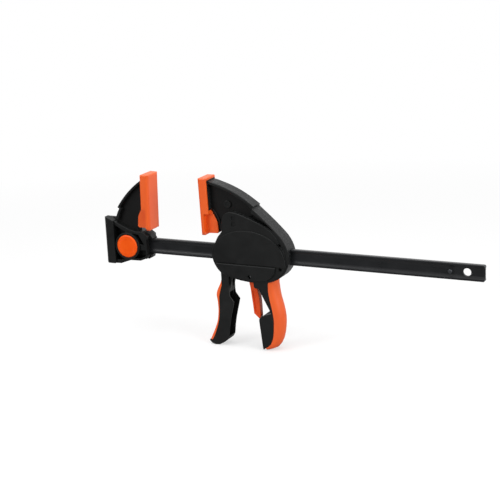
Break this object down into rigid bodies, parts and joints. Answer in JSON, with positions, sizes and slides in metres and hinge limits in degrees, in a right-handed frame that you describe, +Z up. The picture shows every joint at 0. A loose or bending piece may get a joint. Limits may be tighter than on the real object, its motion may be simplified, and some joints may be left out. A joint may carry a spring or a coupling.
{
  "type": "quick release bar clamp",
  "caption": "One-handed bar clamp: a trigger-driven jaw walks along a steel bar towards a fixed jaw, with a release lever and a button that frees the fixed jaw for spreading.",
  "frame": {"origin": "centre of the bounding box's bottom face, on the surface that the tips of the trigger and the handle stand on", "axes": "+X along the bar from the fixed jaw to the free end, +Y across the bar away from the button, +Z up towards the jaws' tips"},
  "size_m": [0.5774, 0.034, 0.2498],
  "materials": {
    "bar": "satin black",
    "black_plastic": "fine grained",
    "pad_plastic": "soft, smooth",
    "button_plastic": "moulded",
    "lever_plastic": "moulded",
    "grip_rubber": "soft, matte",
    "pin_steel": "ground",
    "plate_steel": "hardened, stamped",
    "spring_steel": "drawn wire",
    "screw_steel": "zinc plated"
  },
  "bodies": {
    "bar_assembly": {"bar": "bar", "bar_stop_pin": "pin_steel", "fixed_jaw": "black_plastic", "fixed_jaw_pad": "pad_plastic", "jaw_spring_cap": "black_plastic", "jaw_lock_spring": "spring_steel"},
    "lock_button": {"jaw_button": "button_plastic", "jaw_lock_pin": "pin_steel"},
    "head": {"housing_front": "black_plastic", "housing_back": "black_plastic", "moving_jaw_pad": "pad_plastic", "grip_overmold": "grip_rubber", "housing_screws": "screw_steel", "trigger_pivot_pin": "pin_steel", "release_pivot_pin": "pin_steel", "drive_spring": "spring_steel", "brake_spring": "spring_steel"},
    "trigger": {"trigger": "black_plastic", "trigger_grip": "pad_plastic"},
    "drive_plates": {"drive_plate_front": "plate_steel", "drive_plate_rear": "plate_steel"},
    "brake": {"brake_plate": "plate_steel"},
    "release": {"release_lever": "lever_plastic"}
  },
  "joints": [
    {"name": "button_press", "type": "slide", "parent": "bar_assembly", "child": "lock_button", "axis": [0, 1, 0], "range_m": [0, 0.0045], "stiffness_N_per_m": 900, "springref_m": -0.003, "deforming": ["jaw_lock_spring"]},
    {"name": "head_slide", "type": "slide", "parent": "bar_assembly", "child": "head", "axis": [1, 0, 0], "range_m": [-0.0805, 0.2275]},
    {"name": "trigger_pull", "type": "hinge", "parent": "head", "child": "trigger", "pos_m": [-0.08675, 0, 0.1603], "axis": [0, -1, 0], "range_deg": [0, 16], "stiffness_Nm_per_rad": 0.9, "springref_deg": -20.05},
    {"name": "plates_slide", "type": "slide", "parent": "head", "child": "drive_plates", "axis": [1, 0, 0], "range_m": [0, 0.0021], "deforming": ["drive_spring"]},
    {"name": "release_pull", "type": "hinge", "parent": "head", "child": "release", "pos_m": [-0.04975, 0, 0.1102], "axis": [0, -1, 0], "range_deg": [0, 12], "stiffness_Nm_per_rad": 0.3, "springref_deg": -17.19},
    {"name": "brake_tilt", "type": "hinge", "parent": "head", "child": "brake", "pos_m": [-0.03775, 0, 0.1608], "axis": [0, -1, 0], "range_deg": [0, 2], "deforming": ["brake_spring"]}
  ],
  "couplings": [
    {"joint": "plates_slide", "follows": "trigger_pull", "m_per_rad": 0.00732},
    {"joint": "brake_tilt", "follows": "release_pull", "ratio": 0.1167}
  ]
}
